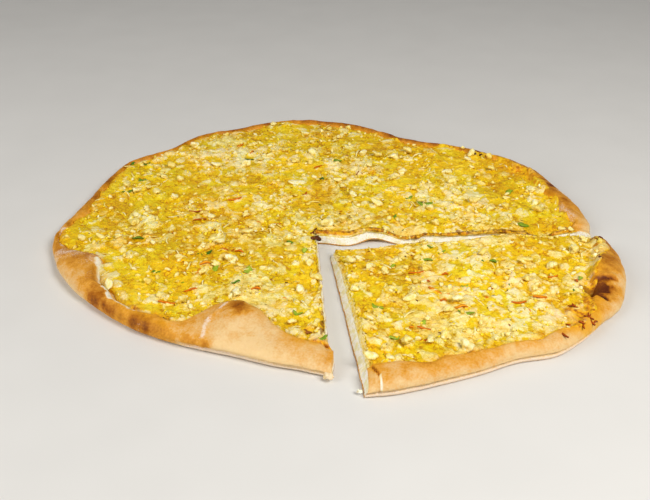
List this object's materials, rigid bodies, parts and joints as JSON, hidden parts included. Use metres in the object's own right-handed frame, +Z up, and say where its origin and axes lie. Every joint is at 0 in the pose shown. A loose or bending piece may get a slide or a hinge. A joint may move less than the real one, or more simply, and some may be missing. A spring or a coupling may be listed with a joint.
{
  "type": "open chicken pie",
  "caption": "Flat open chicken pie on a thin hand-stretched crust with a raised, uneven browned rim; one quarter is cut and eased out.",
  "frame": {"origin": "middle of the footprint, on the surface that the pie lies on", "axes": "+Z up through the filling, +X towards the side where the cut quarter lies, -Y towards the front where it was eased out"},
  "size_m": [0.338, 0.3508, 0.0156],
  "materials": {
    "baked_dough": "golden baked bread crust, floury in places and browner on the high spots, with a pale crumb at the cuts",
    "chicken_filling": "moist baked layer of chopped chicken, melted cheese and egg, yellow and cream with browned specks and green herbs"
  },
  "bodies": {
    "root": {"crust_whole": "baked_dough", "filling_whole": "chicken_filling", "crust_slice": "baked_dough", "filling_slice": "chicken_filling"}
  },
  "joints": []
}
